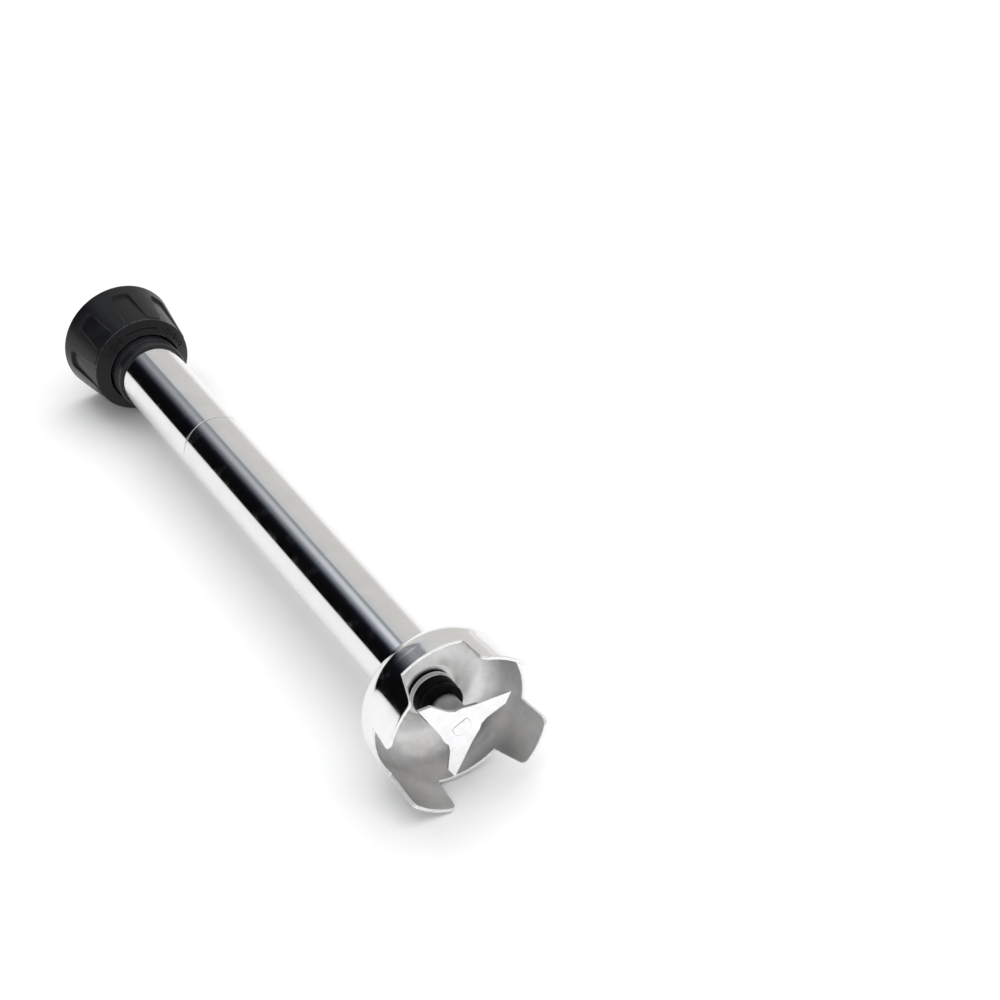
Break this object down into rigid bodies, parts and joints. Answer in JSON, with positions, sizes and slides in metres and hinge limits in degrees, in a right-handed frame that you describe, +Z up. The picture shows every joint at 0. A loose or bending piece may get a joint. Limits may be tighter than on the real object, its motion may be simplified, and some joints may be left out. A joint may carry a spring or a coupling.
{
  "type": "immersion blender shaft",
  "caption": "Detachable blending shaft: fluted locking collar, long polished tube, and a legged bell round a flat bladed rotor.",
  "frame": {"origin": "on the shaft's axis, in the mouth plane of the socket that takes the motor unit's nose", "axes": "+X along the shaft's axis towards the blade, +Z up with the shaft lying on its side"},
  "size_m": [0.4307, 0.0882, 0.0882],
  "materials": {
    "collar_plastic": "satin black moulded plastic, fine grain",
    "neck_plastic": "glossy black plastic",
    "polished_steel": "mirror polished stainless steel with faint cross scratches",
    "bell_steel": "polished stainless steel outside, blasted grey inside",
    "blade_steel": "ground stainless steel",
    "turned_steel": "turned stainless steel",
    "bearing_steel": "ground bearing steel",
    "spring_steel": "dark phosphated spring steel",
    "seal_plastic": "black filled PTFE, turned",
    "rubber": "black nitrile rubber",
    "bronze": "sintered bronze",
    "nylon": "natural nylon",
    "cage_brass": "pressed brass"
  },
  "bodies": {
    "shaft_frame": {"neck_housing": "neck_plastic", "neck_o_ring": "rubber", "friction_washer": "nylon", "upper_tube": "polished_steel", "joint_sleeve": "turned_steel", "seam_gasket": "rubber", "lower_tube": "polished_steel", "steady_carrier": "nylon", "steady_bush": "bronze", "bell": "bell_steel", "bearing_housing": "turned_steel", "lip_seal": "rubber", "garter_spring": "spring_steel", "seal_boss": "seal_plastic", "boss_band": "turned_steel", "boss_o_ring": "rubber", "upper_bearing_outer": "bearing_steel", "lower_bearing_outer": "bearing_steel", "upper_housing_circlip": "spring_steel", "lower_housing_circlip": "spring_steel"},
    "locking_collar": {"collar": "collar_plastic", "bayonet_ring": "turned_steel", "bayonet_screws": "turned_steel", "collar_snap_ring": "spring_steel"},
    "rotor": {"drive_shaft": "turned_steel", "drive_coupling": "turned_steel", "coupling_pin": "spring_steel", "upper_bearing_inner": "bearing_steel", "lower_bearing_inner": "bearing_steel", "upper_shaft_circlips": "spring_steel", "lower_shaft_circlips": "spring_steel", "blade_hub": "turned_steel", "blade": "blade_steel"},
    "upper_ball_set": {"upper_bearing_balls": "bearing_steel", "upper_bearing_cage": "cage_brass"},
    "lower_ball_set": {"lower_bearing_balls": "bearing_steel", "lower_bearing_cage": "cage_brass"}
  },
  "joints": [
    {"name": "collar_twist", "type": "hinge", "parent": "shaft_frame", "child": "locking_collar", "pos_m": [0.02, 0, 0], "axis": [1, 0, 0], "range_deg": [0, 40]},
    {"name": "rotor_spin", "type": "hinge", "parent": "shaft_frame", "child": "rotor", "pos_m": [0.2, 0, 0], "axis": [1, 0, 0], "continuous": true},
    {"name": "upper_balls_orbit", "type": "hinge", "parent": "shaft_frame", "child": "upper_ball_set", "pos_m": [0.054, 0, 0], "axis": [1, 0, 0], "continuous": true},
    {"name": "lower_balls_orbit", "type": "hinge", "parent": "shaft_frame", "child": "lower_ball_set", "pos_m": [0.358, 0, 0], "axis": [1, 0, 0], "continuous": true}
  ],
  "couplings": [
    {"joint": "upper_balls_orbit", "follows": "rotor_spin", "ratio": 0.3678},
    {"joint": "lower_balls_orbit", "follows": "rotor_spin", "ratio": 0.3678}
  ]
}
